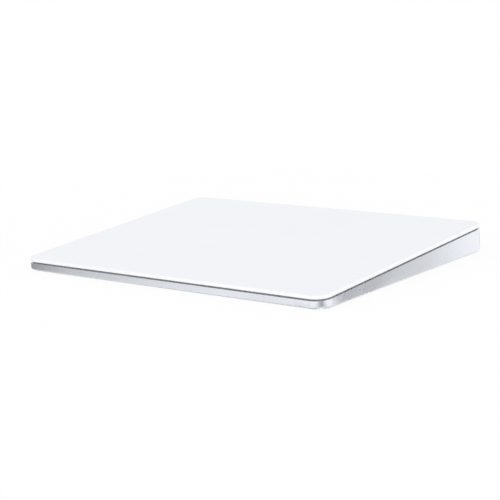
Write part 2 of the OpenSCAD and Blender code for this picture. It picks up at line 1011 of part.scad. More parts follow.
// Circuit from the actuator's base under the cell to the logic board
module haptic_flex() {
  on_base = haptic_top + ribbon_t / 2;
  on_floor = floor_top + ribbon_t / 2;
  on_board = board_top + ribbon_t / 2;
  base_end = haptic_v + haptic_w / 2;
  rise_y = board_front - bend;
  color([0.80, 0.50, 0.16])
    ribbon_yz(haptic_flex_x, [deck_point(base_end - 2 * lap, on_base), deck_point(base_end + bend, on_base),
      [cell_y - bend, on_floor], [rise_y, on_floor], [rise_y, on_board],
      [board_front + board_r + lap, on_board]], haptic_flex_w);
}

// Circuit of one side's two gauges: a lane on the floor, a rise to each gauge and one to the board
module gauge_rise(sx, sy) {
  drop = flex_top - flex_bottom;
  down = deck_z(sy * flex_v * cos(tilt), flex_top) - floor_top - ribbon_t;
  side = lane_x - flex_x;
  over = flex_top + gauge_t + ribbon_t / 2;
  on_deck(0)
    at_flexure(sx, sy)
      rotate([90, 0, 0])
        ribbon([[gauge_u - gauge_l / 2, over], [flex_l / 2 + drop, over],
          [side, over - gauge_t - down], [side + lane_w / 3, over - gauge_t - down]], lane_w);
}

module gauge_flex(sx) {
  on_floor = floor_top + ribbon_t / 2;
  on_board = board_top + ribbon_t / 2;
  color([0.80, 0.50, 0.16]) {
    for (sy = [-1, 1])
      gauge_rise(sx, sy);
    translate([sx * lane_x - lane_w / 2, -flex_v * cos(tilt) - lane_w / 2, floor_top])
      cube([lane_w, lane_y + flex_v * cos(tilt) + lane_w, ribbon_t]);
    translate([min(sx * lane_x, sx * lane_rise), lane_y - lane_w / 2, floor_top])
      cube([lane_x - lane_rise, lane_w, ribbon_t]);
    translate([0, lane_y, 0])
      mirror([sx < 0 ? 1 : 0, 0, 0])
        rotate([90, 0, 0])
          ribbon([[lane_rise + lap, on_floor], [lane_rise, on_floor], [lane_rise, on_board],
            [board_w / 2 - lap, on_board]], lane_w);
  }
}

module gauge_flex_left() {
  gauge_flex(-1);
}

module gauge_flex_right() {
  gauge_flex(1);
}

// Charging port
module port_shell() {
  color([0.72, 0.73, 0.74])
    translate([0, rear_y - port_recess, port_z])
      rotate([90, 0, 0])
        difference() {
          linear_extrude(port_l)
            oblong(port_out_w, port_out_h);
          translate([0, 0, -join])
            linear_extrude(port_l - port_t + join)
              oblong(port_w, port_h);
        }
}

module port_tongue() {
  color([0.12, 0.12, 0.13])
    translate([-tongue_port_w / 2, rear_y - port_recess - port_l + port_t, port_z - tongue_port_h / 2])
      cube([tongue_port_w, tongue_port_l, tongue_port_h]);
}

// Power switch
module switch_body() {
  color([0.11, 0.11, 0.12])
    difference() {
      translate([switch_x - body_w / 2, body_front - body_d, board_top])
        cube([body_w, body_d, body_h]);
      translate([switch_x - (stem_l + switch_travel) / 2 - run_clear, body_front - stem_in - run_clear,
        switch_z - stem_h / 2 - run_clear])
        cube([stem_l + switch_travel + 2 * run_clear, body_d, stem_h + 2 * run_clear]);
    }
}

// Coloured film that shows beside the knob when it is switched on
module on_mark() {
  inner = (stem_l + switch_travel) / 2 + 2 * run_clear;
  color([0.20, 0.72, 0.30])
    translate([switch_x + inner, body_front, switch_z - slot_h / 2])
      cube([slot_l / 2 - inner, mark_t, slot_h]);
}

// Knob with grip lines, drawn at the end of its travel that shows the coloured film
module power_switch() {
  rest_x = switch_x - switch_travel / 2;
  face_y = rear_y - knob_recess;
  color([0.88, 0.88, 0.89])
    difference() {
      union() {
        translate([rest_x, face_y, switch_z])
          rotate([90, 0, 0])
            linear_extrude(face_y - knob_back)
              oblong(knob_l, knob_h);
        translate([rest_x - stem_l / 2, body_front - stem_in, switch_z - stem_h / 2])
          cube([stem_l, knob_back - body_front + stem_in + join, stem_h]);
      }
      for (i = [-2 : 2])
        translate([rest_x + i * grip_pitch - grip_w / 2, face_y - grip_d, switch_z - knob_h / 3])
          cube([grip_w, grip_d + join, 2 * knob_h / 3]);
    }
}

// Antenna on its shelf at the rear wall, where the open line lets radio out
module antenna_block() {
  color([0.16, 0.16, 0.17])
    translate([antenna_x - antenna_w / 2, antenna_front, antenna_z])
      difference() {
        cube([antenna_w, antenna_d, antenna_t]);
        translate([antenna_w / 4, -join, antenna_t / 2])
          cube([antenna_w / 2, antenna_d / 3 + join, antenna_t]);
      }
}

module antenna_flex() {
  on_block = antenna_top + ribbon_t / 2;
  on_board = board_top + ribbon_t / 2;
  start = antenna_x + antenna_w / 2;
  color([0.80, 0.50, 0.16])
    translate([0, antenna_front + antenna_d / 2, 0])
      rotate([90, 0, 0])
        ribbon([[start - lap, on_block], [start + bend, on_block], [-board_w / 2 - bend, on_board],
          [-board_w / 2 + lap, on_board]], antenna_d / 2);
}

housing();
foot_front_left();
foot_front_right();
foot_rear_left();
foot_rear_right();
perimeter_gasket();
glass_cover();
sensor_film();
sensor_board();
stiffener_plate();
touch_chip_left();
touch_chip_right();
touch_connector();
attraction_bar();
flexure_front_left();
flexure_front_right();
flexure_rear_left();
flexure_rear_right();
gauge_front_left();
gauge_front_right();
gauge_rear_left();
gauge_rear_right();
gel_front_left();
gel_front_right();
gel_rear_left();
gel_rear_right();
flexure_screws();
haptic_base();
haptic_core();
haptic_coil_front();
haptic_coil_rear();
haptic_screws();
battery_cell();
battery_tape();
battery_board();
battery_flex();
logic_board();
board_screws();
radio_shield();
processor_chip();
driver_chip();
driver_choke();
sensor_socket();
battery_socket();
sensor_flex();
haptic_flex();
gauge_flex_left();
gauge_flex_right();
port_shell();
port_tongue();
switch_body();
on_mark();
power_switch();
antenna_block();
antenna_flex();
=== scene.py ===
import math

import bmesh
import bpy
from mathutils import Matrix, Vector


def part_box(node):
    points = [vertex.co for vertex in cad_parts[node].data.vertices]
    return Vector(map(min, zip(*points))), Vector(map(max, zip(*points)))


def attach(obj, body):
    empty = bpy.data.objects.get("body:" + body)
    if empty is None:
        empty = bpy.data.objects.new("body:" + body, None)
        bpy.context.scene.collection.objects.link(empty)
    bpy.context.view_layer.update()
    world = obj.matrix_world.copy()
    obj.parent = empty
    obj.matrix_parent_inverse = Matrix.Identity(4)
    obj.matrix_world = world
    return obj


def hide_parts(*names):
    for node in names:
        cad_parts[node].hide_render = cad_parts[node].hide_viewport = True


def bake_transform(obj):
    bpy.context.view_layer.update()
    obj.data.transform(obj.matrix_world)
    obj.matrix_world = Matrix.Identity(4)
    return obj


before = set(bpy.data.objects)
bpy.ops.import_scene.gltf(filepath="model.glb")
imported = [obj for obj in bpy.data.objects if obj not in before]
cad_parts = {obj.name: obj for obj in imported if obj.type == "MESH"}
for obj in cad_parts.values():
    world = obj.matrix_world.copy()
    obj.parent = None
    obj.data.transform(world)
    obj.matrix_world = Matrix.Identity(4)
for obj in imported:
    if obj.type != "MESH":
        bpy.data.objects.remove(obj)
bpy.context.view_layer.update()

# Sizes of the trackpad, in metres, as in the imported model
MM = 0.001
PAD_W, PAD_D = 160 * MM, 115 * MM
FRONT_H, REAR_H = 5.2 * MM, 12.0 * MM
FOOT_H = 0.5 * MM
CORNER_R = 6.0 * MM
GLASS_T = 1.3 * MM
GAP_T = 0.7 * MM
TILT = math.atan((REAR_H - FRONT_H) / PAD_D)
MID_H = (FRONT_H + REAR_H) / 2
DECK_D = PAD_D / math.cos(TILT)
RIM_LEVEL = -GLASS_T - GAP_T

WHITE = (1.0, 1.0, 1.0, 1.0)


# Node helpers

def link(tree, source, target):
    tree.links.new(source, target)


def put(tree, target, value):
    """Links a socket into target, or sets target's own value."""
    if isinstance(value, bpy.types.NodeSocket):
        tree.links.new(value, target)
    else:
        target.default_value = value


def math_node(tree, operation, *values):
    node = tree.nodes.new("ShaderNodeMath")
    node.operation = operation
    for socket, value in zip(node.inputs, values):
        put(tree, socket, value)
    return node.outputs[0]


def vector_node(tree, operation, *values):
    node = tree.nodes.new("ShaderNodeVectorMath")
    node.operation = operation
    for socket, value in zip(node.inputs, values):
        put(tree, socket, value)
    return node.outputs["Value" if operation == "LENGTH" else "Vector"]


def map_range(tree, value, low, high, to_low=0.0, to_high=1.0, smooth=True):
    node = tree.nodes.new("ShaderNodeMapRange")
    node.interpolation_type = "SMOOTHSTEP" if smooth else "LINEAR"
    limits = {"From Min": low, "From Max": high, "To Min": to_low, "To Max": to_high}
    for label, v in {"Value": value, **limits}.items():
        put(tree, node.inputs[label], v)
    return node.outputs["Result"]


def noise(tree, vector, scale, detail=2.0, roughness=0.5):
    node = tree.nodes.new("ShaderNodeTexNoise")
    put(tree, node.inputs["Vector"], vector)
    put(tree, node.inputs["Scale"], scale)
    put(tree, node.inputs["Detail"], detail)
    put(tree, node.inputs["Roughness"], roughness)
    return node.outputs["Fac"]


def mix_color(tree, factor, first, second):
    node = tree.nodes.new("ShaderNodeMix")
    node.data_type = "RGBA"
    put(tree, node.inputs["Factor"], factor)
    put(tree, node.inputs["A"], first)
    put(tree, node.inputs["B"], second)
    return node.outputs["Result"]


def new_group(name, inputs, outputs):
    """A shader node group with named sockets: (tree, its inputs by name, a function that fills an output)."""
    tree = bpy.data.node_groups.new(name, "ShaderNodeTree")
    for label, kind, value in inputs:
        socket = tree.interface.new_socket(label, in_out="INPUT", socket_type="NodeSocket" + kind)
        if value is not None:
            socket.default_value = value
    for label, kind in outputs:
        tree.interface.new_socket(label, in_out="OUTPUT", socket_type="NodeSocket" + kind)
    inside = tree.nodes.new("NodeGroupInput")
    outside = tree.nodes.new("NodeGroupOutput")
    return tree, inside.outputs, lambda label, value: put(tree, outside.inputs[label], value)


# Effects that several finishes share

def make_fine_grain():
    """Height of a fine grain: two sizes of noise over each other."""
    tree, given, give = new_group(
        "fine_grain",
        [("Vector", "Vector", None), ("Grains per metre", "Float", 5000.0)],
        [("Height", "Float")])
    coarse = noise(tree, given["Vector"], given["Grains per metre"])
    finer = math_node(tree, "MULTIPLY", given["Grains per metre"], 2.7)
    fine = noise(tree, given["Vector"], finer)
    total = math_node(tree, "ADD", coarse, fine)
    give("Height", math_node(tree, "MULTIPLY", total, 0.5))
    return tree


def make_soft_patches():
    """A value that drifts between two limits in large soft patches."""
    tree, given, give = new_group(
        "soft_patches",
        [("Vector", "Vector", None), ("Patches per metre", "Float", 40.0),
         ("Low", "Float", 0.3), ("High", "Float", 0.4)],
        [("Value", "Float")])
    cloud = noise(tree, given["Vector"], given["Patches per metre"], 4.0, 0.55)
    give("Value", map_range(tree, cloud, 0.3, 0.7, given["Low"], given["High"]))
    return tree


def make_tint_drift():
    """A colour that is a little darker in soft patches."""
    tree, given, give = new_group(
        "tint_drift",
        [("Vector", "Vector", None), ("Color", "Color", WHITE),
         ("Patches per metre", "Float", 60.0), ("Amount", "Float", 0.05)],
        [("Color", "Color")])
    cloud = noise(tree, given["Vector"], given["Patches per metre"], 5.0, 0.6)
    shade = math_node(tree, "MULTIPLY", map_range(tree, cloud, 0.35, 0.7), given["Amount"])
    keep = math_node(tree, "SUBTRACT", 1.0, shade)
    scaled = vector_node(tree, "SCALE", given["Color"])
    put(tree, scaled.node.inputs["Scale"], keep)
    give("Color", scaled)
    return tree


def make_edge_distance():
    """Mask that rises to 1 towards the outline of a rounded rectangle in the plane of X and Y."""
    tree, given, give = new_group(
        "edge_distance",
        [("Vector", "Vector", None), ("Half width", "Float", 0.08), ("Half depth", "Float", 0.0575),
         ("Corner radius", "Float", 0.006), ("Band", "Float", 0.001)],
        [("Mask", "Float")])
    split = tree.nodes.new("ShaderNodeSeparateXYZ")
    put(tree, split.inputs[0], given["Vector"])
    sides = []
    for axis, label in (("X", "Half width"), ("Y", "Half depth")):
        reach = math_node(tree, "SUBTRACT", given[label], given["Corner radius"])
        sides.append(math_node(tree, "SUBTRACT", math_node(tree, "ABSOLUTE", split.outputs[axis]), reach))
    joined = tree.nodes.new("ShaderNodeCombineXYZ")
    for socket, side in zip(joined.inputs, sides):
        put(tree, socket, math_node(tree, "MAXIMUM", side, 0.0))
    outside = vector_node(tree, "LENGTH", joined.outputs[0])
    inside = math_node(tree, "MINIMUM", math_node(tree, "MAXIMUM", sides[0], sides[1]), 0.0)
    distance = math_node(tree, "SUBTRACT", math_node(tree, "ADD", outside, inside), given["Corner radius"])
    start = math_node(tree, "MULTIPLY", given["Band"], -1.0)
    give("Mask", map_range(tree, distance, start, 0.0))
    return tree


def make_level_band():
    """Mask along a level of Z, broken up along its length in soft patches; it carries a painted highlight along the
    housing's rim.
    """
    tree, given, give = new_group(
        "level_band",
        [("Vector", "Vector", None), ("Level", "Float", 0.0), ("Width", "Float", 0.0003),
         ("Breaks per metre", "Float", 400.0)],
        [("Mask", "Float")])
    split = tree.nodes.new("ShaderNodeSeparateXYZ")
    put(tree, split.inputs[0], given["Vector"])
    away = math_node(tree, "ABSOLUTE", math_node(tree, "SUBTRACT", split.outputs["Z"], given["Level"]))
    band = map_range(tree, away, 0.0, given["Width"], 1.0, 0.0)
    worn = map_range(tree, noise(tree, given["Vector"], given["Breaks per metre"], 4.0, 0.6), 0.35, 0.75)
    give("Mask", math_node(tree, "MULTIPLY", band, worn))
    return tree


def make_drawn_lines():
    """Height of fine lines along X, as on rolled or brushed metal."""
    tree, given, give = new_group(
        "drawn_lines",
        [("Vector", "Vector", None), ("Lines per metre", "Float", 6000.0), ("Stretch", "Float", 0.02)],
        [("Height", "Float")])
    squeeze = tree.nodes.new("ShaderNodeCombineXYZ")
    put(tree, squeeze.inputs["X"], given["Stretch"])
    for axis in ("Y", "Z"):
        put(tree, squeeze.inputs[axis], 1.0)
    drawn = vector_node(tree, "MULTIPLY", given["Vector"], squeeze.outputs[0])
    give("Height", noise(tree, drawn, given["Lines per metre"], 3.0, 0.6))
    return tree


def make_track_lines():
    """Mask of parallel copper tracks: straight stripes across one axis, cut into runs along the other."""
    tree, given, give = new_group(
        "track_lines",
        [("Vector", "Vector", None), ("Tracks per metre", "Float", 1500.0), ("Runs per metre", "Float", 60.0),
         ("Share", "Float", 0.45)],
        [("Mask", "Float")])
    split = tree.nodes.new("ShaderNodeSeparateXYZ")
    put(tree, split.inputs[0], given["Vector"])
    phase = math_node(tree, "MULTIPLY", split.outputs["X"], given["Tracks per metre"])
    stripe = math_node(tree, "LESS_THAN", math_node(tree, "FRACT", phase), given["Share"])
    cell = tree.nodes.new("ShaderNodeCombineXYZ")
    put(tree, cell.inputs["X"], math_node(tree, "FLOOR", phase))
    run = math_node(tree, "MULTIPLY", split.outputs["Y"], given["Runs per metre"])
    put(tree, cell.inputs["Y"], math_node(tree, "FLOOR", run))
    pick = tree.nodes.new("ShaderNodeTexWhiteNoise")
    put(tree, pick.inputs["Vector"], cell.outputs[0])
    kept = math_node(tree, "GREATER_THAN", pick.outputs["Value"], 0.3)
    give("Mask", math_node(tree, "MULTIPLY", stripe, kept))
    return tree


GROUPS = {tree.name: tree for tree in (
    make_fine_grain(), make_soft_patches(), make_tint_drift(), make_edge_distance(), make_level_band(),
    make_drawn_lines(), make_track_lines())}


class Finish:
    """One material round a Principled shader, with the shared effects placed by name."""

    def __init__(self, name, color, roughness, metallic=0.0, **sockets):
        self.material = bpy.data.materials.new(name)
        self.material.use_nodes = True
        self.tree = self.material.node_tree
        self.shader = self.tree.nodes["Principled BSDF"]
        self.shader.inputs["Base Color"].default_value = (*color, 1.0)
        self.shader.inputs["Roughness"].default_value = roughness
        self.shader.inputs["Metallic"].default_value = metallic
        for label, value in sockets.items():
            self.shader.inputs[label.replace("_", " ")].default_value = value
        self.color = (*color, 1.0)
        self.material.diffuse_color = self.color
        self.place = self.tree.nodes.new("ShaderNodeTexCoord").outputs["Object"]

    def mapped(self, location, rotation):
        """Object coordinates measured from a place and a direction of the piece."""
        node = self.tree.nodes.new("ShaderNodeMapping")
        node.vector_type = "TEXTURE"
        put(self.tree, node.inputs["Vector"], self.place)
        node.inputs["Location"].default_value = location
        node.inputs["Rotation"].default_value = rotation
        return node.outputs["Vector"]

    def effect(self, group, vector=None, **values):
        node = self.tree.nodes.new("ShaderNodeGroup")
        node.node_tree = GROUPS[group]
        put(self.tree, node.inputs["Vector"], self.place if vector is None else vector)
        for label, value in values.items():
            put(self.tree, node.inputs[label.replace("_", " ")], value)
        return node.outputs[0]

    def drift(self, patches, amount):
        """Colour in soft patches."""
        tinted = self.effect("tint_drift", Color=self.color, Patches_per_metre=patches, Amount=amount)
        put(self.tree, self.shader.inputs["Base Color"], tinted)

    def polish(self, low, high, patches):
        """Roughness in soft patches."""
        rough = self.effect("soft_patches", Patches_per_metre=patches, Low=low, High=high)
        put(self.tree, self.shader.inputs["Roughness"], rough)

    def paint(self, factor, color):
        """Another colour over the present one where factor is 1."""
        socket = self.shader.inputs["Base Color"]
        under = socket.links[0].from_socket if socket.links else self.color
        put(self.tree, socket, mix_color(self.tree, factor, under, (*color, 1.0)))

    def blend_value(self, label, factor, value):
        """Another value of a socket where factor is 1."""
        socket = self.shader.inputs[label]
        under = socket.links[0].from_socket if socket.links else socket.default_value
        put(self.tree, socket, map_range(self.tree, factor, 0.0, 1.0, under, value, smooth=False))

    def bump(self, height, depth):
        """Relief of a depth in metres, over any that is there."""
        node = self.tree.nodes.new("ShaderNodeBump")
        node.inputs["Distance"].default_value = depth
        node.inputs["Strength"].default_value = 1.0
        put(self.tree, node.inputs["Height"], height)
        socket = self.shader.inputs["Normal"]
        if socket.links:
            put(self.tree, node.inputs["Normal"], socket.links[0].from_socket)
        put(self.tree, socket, node.outputs["Normal"])


DECK = {"location": (0, 0, MID_H), "rotation": (TILT, 0, 0)}


# Finishes of the outside

def blasted_aluminium():
    f = Finish("blasted_aluminium", (0.895, 0.92, 0.976), 0.26, 1.0)
    f.drift(45.0, 0.03)
    f.polish(0.23, 0.29, 70.0)
    # Painted highlight: a brighter colour in a thin line along the top of the rim, broken up in patches.
    rim_highlight = f.effect("level_band", f.mapped(**DECK), Level=RIM_LEVEL, Width=0.25 * MM, Breaks_per_metre=500.0)
    f.paint(rim_highlight, (0.95, 0.955, 0.965))
    f.blend_value("Roughness", rim_highlight, 0.26)
    f.bump(f.effect("fine_grain", Grains_per_metre=7000.0), 0.0015 * MM)
    return f.material


def white_glass():
    f = Finish("white_glass", (0.86, 0.87, 0.905), 0.32, 0.0, IOR=1.5)
    f.drift(25.0, 0.008)
    f.polish(0.30, 0.36, 30.0)
    # Painted highlight: the glass is painted a lighter colour in a band along its edges, where it is also smoother.
    edge_highlight = f.effect(
        "edge_distance", f.mapped(**DECK), Half_width=PAD_W / 2 - 0.1 * MM, Half_depth=DECK_D / 2 - 0.1 * MM,
        Corner_radius=CORNER_R - 0.1 * MM, Band=0.5 * MM)
    f.paint(edge_highlight, (0.96, 0.965, 0.975))
    f.blend_value("Roughness", edge_highlight, 0.16)
    f.bump(f.effect("fine_grain", Grains_per_metre=12000.0), 0.0006 * MM)
    return f.material


def foam():
    f = Finish("grey_foam", (0.40, 0.40, 0.405), 0.9)
    f.drift(300.0, 0.3)
    f.bump(f.effect("fine_grain", Grains_per_metre=4000.0), 0.05 * MM)
    return f.material


def foot_rubber():
    f = Finish("foot_rubber", (0.55, 0.555, 0.56), 0.62)
    f.drift(200.0, 0.08)
    f.polish(0.55, 0.7, 150.0)
    f.bump(f.effect("fine_grain", Grains_per_metre=5000.0), 0.015 * MM)
    return f.material


# Finishes of the port, the switch and the inside

def rolled_steel(name, color, rough_low, rough_high, depth=0.004 * MM):
    f = Finish(name, color, rough_low, 1.0)
    f.drift(120.0, 0.08)
    f.polish(rough_low, rough_high, 90.0)
    f.bump(f.effect("drawn_lines", Lines_per_metre=7000.0), depth)
    return f.material


def moulded(name, color, roughness, grains=6000.0, depth=0.01 * MM):
    f = Finish(name, color, roughness)
    f.drift(150.0, 0.06)
    f.polish(roughness - 0.06, roughness + 0.08, 120.0)
    f.bump(f.effect("fine_grain", Grains_per_metre=grains), depth)
    return f.material


def circuit_board():
    f = Finish("circuit_board", (0.012, 0.055, 0.03), 0.38, 0.0, Coat_Weight=0.3)
    f.drift(200.0, 0.15)
    tracks = f.effect("track_lines", Tracks_per_metre=1250.0, Runs_per_metre=90.0, Share=0.4)
    f.paint(tracks, (0.03, 0.12, 0.06))
    f.bump(tracks, 0.02 * MM)
    return f.material


def flexible_circuit():
    f = Finish("flexible_circuit", (0.46, 0.22, 0.05), 0.36, 0.0, Coat_Weight=0.2)
    f.drift(300.0, 0.1)
    tracks = f.effect("track_lines", Tracks_per_metre=1800.0, Runs_per_metre=8.0, Share=0.45)
    f.paint(tracks, (0.55, 0.28, 0.09))
    f.bump(tracks, 0.012 * MM)
    return f.material


def copper_winding():
    f = Finish("copper_winding", (0.62, 0.26, 0.12), 0.32, 1.0)
    f.drift(400.0, 0.15)
    f.polish(0.26, 0.4, 300.0)
    wave = f.tree.nodes.new("ShaderNodeTexWave")
    wave.bands_direction = "X"
    wave.wave_profile = "SIN"
    wave.inputs["Scale"].default_value = 250.0
    put(f.tree, wave.inputs["Vector"], f.place)
    f.bump(wave.outputs["Fac"], 0.08 * MM)
    return f.material


def cell_foil():
    f = Finish("cell_foil", (0.16, 0.165, 0.175), 0.42, 0.6)
    f.drift(90.0, 0.1)
    f.polish(0.36, 0.52, 80.0)
    f.bump(f.effect("soft_patches", Patches_per_metre=220.0, Low=0.0, High=1.0), 0.03 * MM)
    return f.material


def gel():
    f = Finish("gel", (0.78, 0.83, 0.86), 0.3, 0.0, Transmission_Weight=0.5, IOR=1.41)
    f.drift(500.0, 0.05)
    f.bump(f.effect("fine_grain", Grains_per_metre=3000.0), 0.01 * MM)
    return f.material


ALUMINIUM, GLASS, FOAM, FOOT = blasted_aluminium(), white_glass(), foam(), foot_rubber()
STEEL = rolled_steel("rolled_steel", (0.56, 0.57, 0.58), 0.28, 0.42)
CORE = rolled_steel("core_steel", (0.25, 0.255, 0.27), 0.4, 0.55)
SCREW = rolled_steel("screw_steel", (0.14, 0.14, 0.15), 0.35, 0.5)
GOLD = rolled_steel("contact_gold", (0.78, 0.55, 0.24), 0.2, 0.32, 0.002 * MM)
BOARD, CIRCUIT, COPPER, FOIL, GEL = circuit_board(), flexible_circuit(), copper_winding(), cell_foil(), gel()
CHIP = moulded("chip_epoxy", (0.018, 0.018, 0.02), 0.5)
PALE = moulded("pale_plastic", (0.70, 0.66, 0.54), 0.45)
DARK = moulded("dark_plastic", (0.016, 0.016, 0.018), 0.42)
FILM = moulded("adhesive_film", (0.62, 0.62, 0.56), 0.4)
MARK = moulded("green_film", (0.05, 0.44, 0.10), 0.35)

FINISHES = {
    ALUMINIUM: ["housing", "power_switch"],
    GLASS: ["glass_cover"],
    FOAM: ["perimeter_gasket"],
    FOOT: ["foot_front_left", "foot_front_right", "foot_rear_left", "foot_rear_right"],
    FILM: ["sensor_film", "battery_tape"],
    BOARD: ["sensor_board", "logic_board", "battery_board"],
    STEEL: ["stiffener_plate", "attraction_bar", "haptic_base", "radio_shield", "port_shell",
            "flexure_front_left", "flexure_front_right", "flexure_rear_left", "flexure_rear_right"],
    CORE: ["haptic_core"],
    SCREW: ["flexure_screws", "haptic_screws", "board_screws"],
    COPPER: ["haptic_coil_front", "haptic_coil_rear"],
    CHIP: ["touch_chip_left", "touch_chip_right", "processor_chip", "driver_chip", "driver_choke"],
    PALE: ["touch_connector", "sensor_socket", "battery_socket"],
    DARK: ["port_tongue", "switch_body", "antenna_block"],
    CIRCUIT: ["gauge_front_left", "gauge_front_right", "gauge_rear_left", "gauge_rear_right", "battery_flex",
              "sensor_flex", "haptic_flex", "gauge_flex_left", "gauge_flex_right", "antenna_flex"],
    GEL: ["gel_front_left", "gel_front_right", "gel_rear_left", "gel_rear_right"],
    FOIL: ["battery_cell"],
    MARK: ["on_mark"],
}
for material, names in FINISHES.items():
    for name in names:
        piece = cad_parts[name]
        for index in range(len(piece.material_slots)):
            piece.material_slots[index].material = material


# Contacts on the port's tongue

def contact_row_tree():
    """Geometry nodes: a row of thin pads along X, on a face."""
    tree = bpy.data.node_groups.new("contact_row", "GeometryNodeTree")
    face = tree.interface
    sockets = {}
    for label, kind in (("Geometry", "Geometry"), ("Count", "Int"), ("Pitch", "Float"), ("Pad size", "Vector"),
                        ("Centre", "Vector"), ("Finish", "Material")):
        socket = face.new_socket(label, in_out="INPUT", socket_type="NodeSocket" + kind)
        sockets[label] = socket.identifier
    face.new_socket("Geometry", in_out="OUTPUT", socket_type="NodeSocketGeometry")
    given = tree.nodes.new("NodeGroupInput").outputs
    out = tree.nodes.new("NodeGroupOutput")
    step = tree.nodes.new("ShaderNodeCombineXYZ")
    link(tree, given["Pitch"], step.inputs["X"])
    line = tree.nodes.new("GeometryNodeMeshLine")
    link(tree, given["Count"], line.inputs["Count"])
    link(tree, step.outputs[0], line.inputs["Offset"])
    gaps = math_node(tree, "SUBTRACT", given["Count"], 1.0)
    reach = math_node(tree, "MULTIPLY", math_node(tree, "MULTIPLY", gaps, given["Pitch"]), -0.5)
    half = tree.nodes.new("ShaderNodeCombineXYZ")
    link(tree, reach, half.inputs["X"])
    start = vector_node(tree, "ADD", given["Centre"], half.outputs[0])
    link(tree, start, line.inputs["Start Location"])
    pad = tree.nodes.new("GeometryNodeMeshCube")
    link(tree, given["Pad size"], pad.inputs["Size"])
    copies = tree.nodes.new("GeometryNodeInstanceOnPoints")
    link(tree, line.outputs["Mesh"], copies.inputs["Points"])
    link(tree, pad.outputs["Mesh"], copies.inputs["Instance"])
    real = tree.nodes.new("GeometryNodeRealizeInstances")
    link(tree, copies.outputs["Instances"], real.inputs["Geometry"])
    coat = tree.nodes.new("GeometryNodeSetMaterial")
    link(tree, real.outputs["Geometry"], coat.inputs["Geometry"])
    link(tree, given["Finish"], coat.inputs["Material"])
    link(tree, coat.outputs["Geometry"], out.inputs["Geometry"])
    return tree, sockets


def grown(name, tree, sockets, **values):
    """A plain mesh piece made by a geometry node tree."""
    maker = bpy.data.objects.new(name + "_maker", bpy.data.meshes.new(name + "_maker"))
    bpy.context.scene.collection.objects.link(maker)
    modifier = maker.modifiers.new("grow", "NODES")
    modifier.node_group = tree
    for label, value in values.items():
        modifier[sockets[label.replace("_", " ")]] = value
    ready = maker.evaluated_get(bpy.context.evaluated_depsgraph_get())
    mesh = bpy.data.meshes.new_from_object(ready)
    maker.modifiers.remove(modifier)
    bpy.data.objects.remove(maker)
    mesh.name = name
    piece = bpy.data.objects.new(name, mesh)
    bpy.context.scene.collection.objects.link(piece)
    return piece


def port_contacts():
    low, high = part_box("port_tongue")
    size = (0.28 * MM, 3.2 * MM, 0.03 * MM)
    tree, sockets = contact_row_tree()
    middle = high.y - 0.5 * MM - size[1] / 2
    for name, z in (("port_contacts_upper", high.z), ("port_contacts_lower", low.z)):
        row = grown(name, tree, sockets, Count=12, Pitch=0.5 * MM, Pad_size=size,
                    Centre=((low.x + high.x) / 2, middle, z), Finish=GOLD)
        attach(row, "chassis")


port_contacts()


# Circuit between the plate and the logic board

RIBBON_CUTS = 8


def sensor_ribbon():
    """A copy of the sensor's flexible circuit, cut across in even steps between its plug and its socket; the CAD
    piece is hidden.
    """
    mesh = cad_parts["sensor_flex"].data.copy()
    mesh.name = "sensor_ribbon"
    start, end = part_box("touch_connector")[1].y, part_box("sensor_socket")[0].y
    shape = bmesh.new()
    shape.from_mesh(mesh)
    for step in range(RIBBON_CUTS + 1):
        cut = start + (end - start) * step / RIBBON_CUTS
        bmesh.ops.bisect_plane(
            shape, geom=shape.verts[:] + shape.edges[:] + shape.faces[:], dist=1e-7,
            plane_co=(0, cut, 0), plane_no=(0, 1, 0))
    shape.to_mesh(mesh)
    shape.free()
    ribbon = bpy.data.objects.new("sensor_ribbon", mesh)
    bpy.context.scene.collection.objects.link(ribbon)
    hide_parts("sensor_flex")
    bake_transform(ribbon)


sensor_ribbon()


# Floor and light

# Share of plain white in the floor as the camera, metal and glass see it: in the shadow under the trackpad's
# sides, round it and far away, with the distances from its outline between which the share rises.
CONTACT_WHITE, FLOOR_WHITE, FAR_WHITE = 0.05, 0.87, 1.0
CONTACT_RISE = (-1.8 * MM, -0.4 * MM)
FAR_RISE = (60.0 * MM, 180.0 * MM)
# The floor is open under the trackpad and clear from below, so that light reaches the underside.
OPEN_X, OPEN_Y = PAD_W / 2 - 2.5 * MM, PAD_D / 2 - 2.5 * MM


def new_card(name, points, faces, material):
    mesh = bpy.data.meshes.new(name)
    mesh.from_pydata(points, [], faces)
    mesh.materials.append(material)
    card = bpy.data.objects.new(name, mesh)
    bpy.context.scene.collection.objects.link(card)
    return card


def seen(tree):
    """1 for what the camera sees, straight on or in metal and glass."""
    path = tree.nodes.new("ShaderNodeLightPath").outputs
    mirrored = math_node(tree, "MAXIMUM", path["Is Glossy Ray"], path["Is Transmission Ray"])
    return math_node(tree, "MAXIMUM", path["Is Camera Ray"], mirrored)


def mixed(tree, share, first, second):
    node = tree.nodes.new("ShaderNodeMixShader")
    link(tree, share, node.inputs[0])
    link(tree, first, node.inputs[1])
    link(tree, second, node.inputs[2])
    return node.outputs[0]


def from_outline(tree, place):
    """Distance outside the trackpad's outline in plan."""
    side = vector_node(tree, "ABSOLUTE", vector_node(tree, "MULTIPLY", place, (1, 1, 0)))
    beyond = vector_node(tree, "SUBTRACT", side, (PAD_W / 2 - CORNER_R, PAD_D / 2 - CORNER_R, 0))
    round_corner = vector_node(tree, "LENGTH", vector_node(tree, "MAXIMUM", beyond, (0, 0, 0)))
    return math_node(tree, "SUBTRACT", round_corner, CORNER_R)


